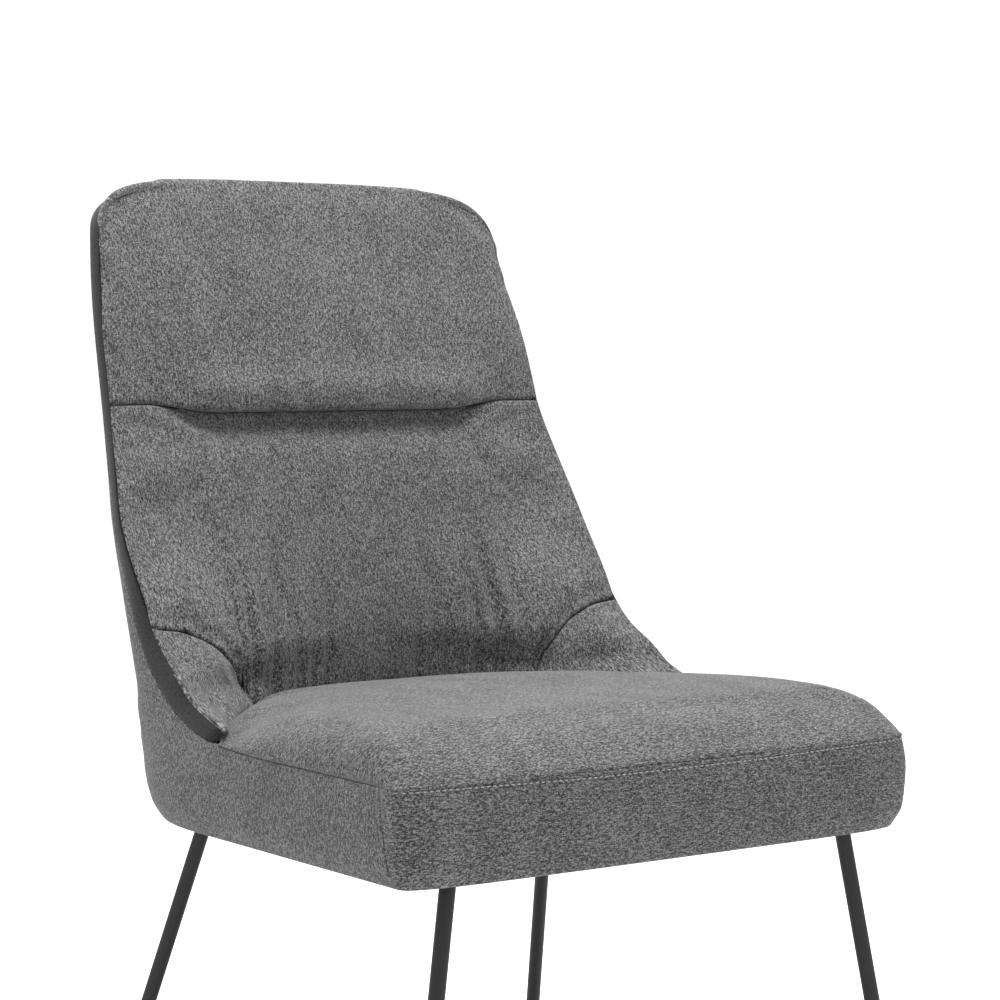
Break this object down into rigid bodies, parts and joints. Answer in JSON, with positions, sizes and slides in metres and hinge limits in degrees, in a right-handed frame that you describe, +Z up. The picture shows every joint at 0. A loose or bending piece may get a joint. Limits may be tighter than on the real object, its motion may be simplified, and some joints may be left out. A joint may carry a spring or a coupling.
{
  "type": "dining chair",
  "caption": "Upholstered dining chair with a wrap-around back, a padded seat, a contrasting edge strip and splayed round metal legs.",
  "frame": {"origin": "on the floor, under the middle of the chair's bounding box", "axes": "+Z up, -Y the way the chair faces, +X to the right of someone looking at its front"},
  "size_m": [0.527, 0.593, 0.901],
  "materials": {
    "fabric_grey": "heathered woven cloth",
    "fabric_charcoal": "plain woven cloth",
    "padding": "polyurethane foam",
    "plywood": "bare plywood",
    "timber": "bare sawn timber",
    "lining": "non-woven dust cloth",
    "black_steel": "matt powder coat",
    "zinc_steel": "zinc plated",
    "black_plastic": "matt"
  },
  "bodies": {
    "root": {"side_cover_right": "fabric_grey", "side_cover_left": "fabric_grey", "rear_cover": "fabric_grey", "front_cover": "fabric_grey", "seat_cushion": "padding", "upper_back_pad": "padding", "lower_back_pad": "padding", "wing_pad_right": "padding", "wing_pad_left": "padding", "back_shell": "plywood", "border_strip": "fabric_charcoal", "seat_board": "plywood", "front_rail": "timber", "back_rail": "timber", "side_rail_right": "timber", "side_rail_left": "timber", "shell_spacer": "timber", "front_block_right": "timber", "front_block_left": "timber", "rear_block_right": "timber", "rear_block_left": "timber", "front_pad": "padding", "side_pad_right": "padding", "side_pad_left": "padding", "dust_cover": "lining", "front_leg_right": "black_steel", "front_leg_plate_right": "black_steel", "front_glide_right": "black_plastic", "front_plate_screw_1_right": "zinc_steel", "front_plate_screw_2_right": "zinc_steel", "front_plate_screw_3_right": "zinc_steel", "front_leg_left": "black_steel", "front_leg_plate_left": "black_steel", "front_glide_left": "black_plastic", "front_plate_screw_1_left": "zinc_steel", "front_plate_screw_2_left": "zinc_steel", "front_plate_screw_3_left": "zinc_steel", "rear_leg_right": "black_steel", "rear_leg_plate_right": "black_steel", "rear_glide_right": "black_plastic", "rear_plate_screw_1_right": "zinc_steel", "rear_plate_screw_2_right": "zinc_steel", "rear_plate_screw_3_right": "zinc_steel", "rear_leg_left": "black_steel", "rear_leg_plate_left": "black_steel", "rear_glide_left": "black_plastic", "rear_plate_screw_1_left": "zinc_steel", "rear_plate_screw_2_left": "zinc_steel", "rear_plate_screw_3_left": "zinc_steel", "shell_bolt_right": "zinc_steel", "shell_bolt_left": "zinc_steel"}
  },
  "joints": []
}
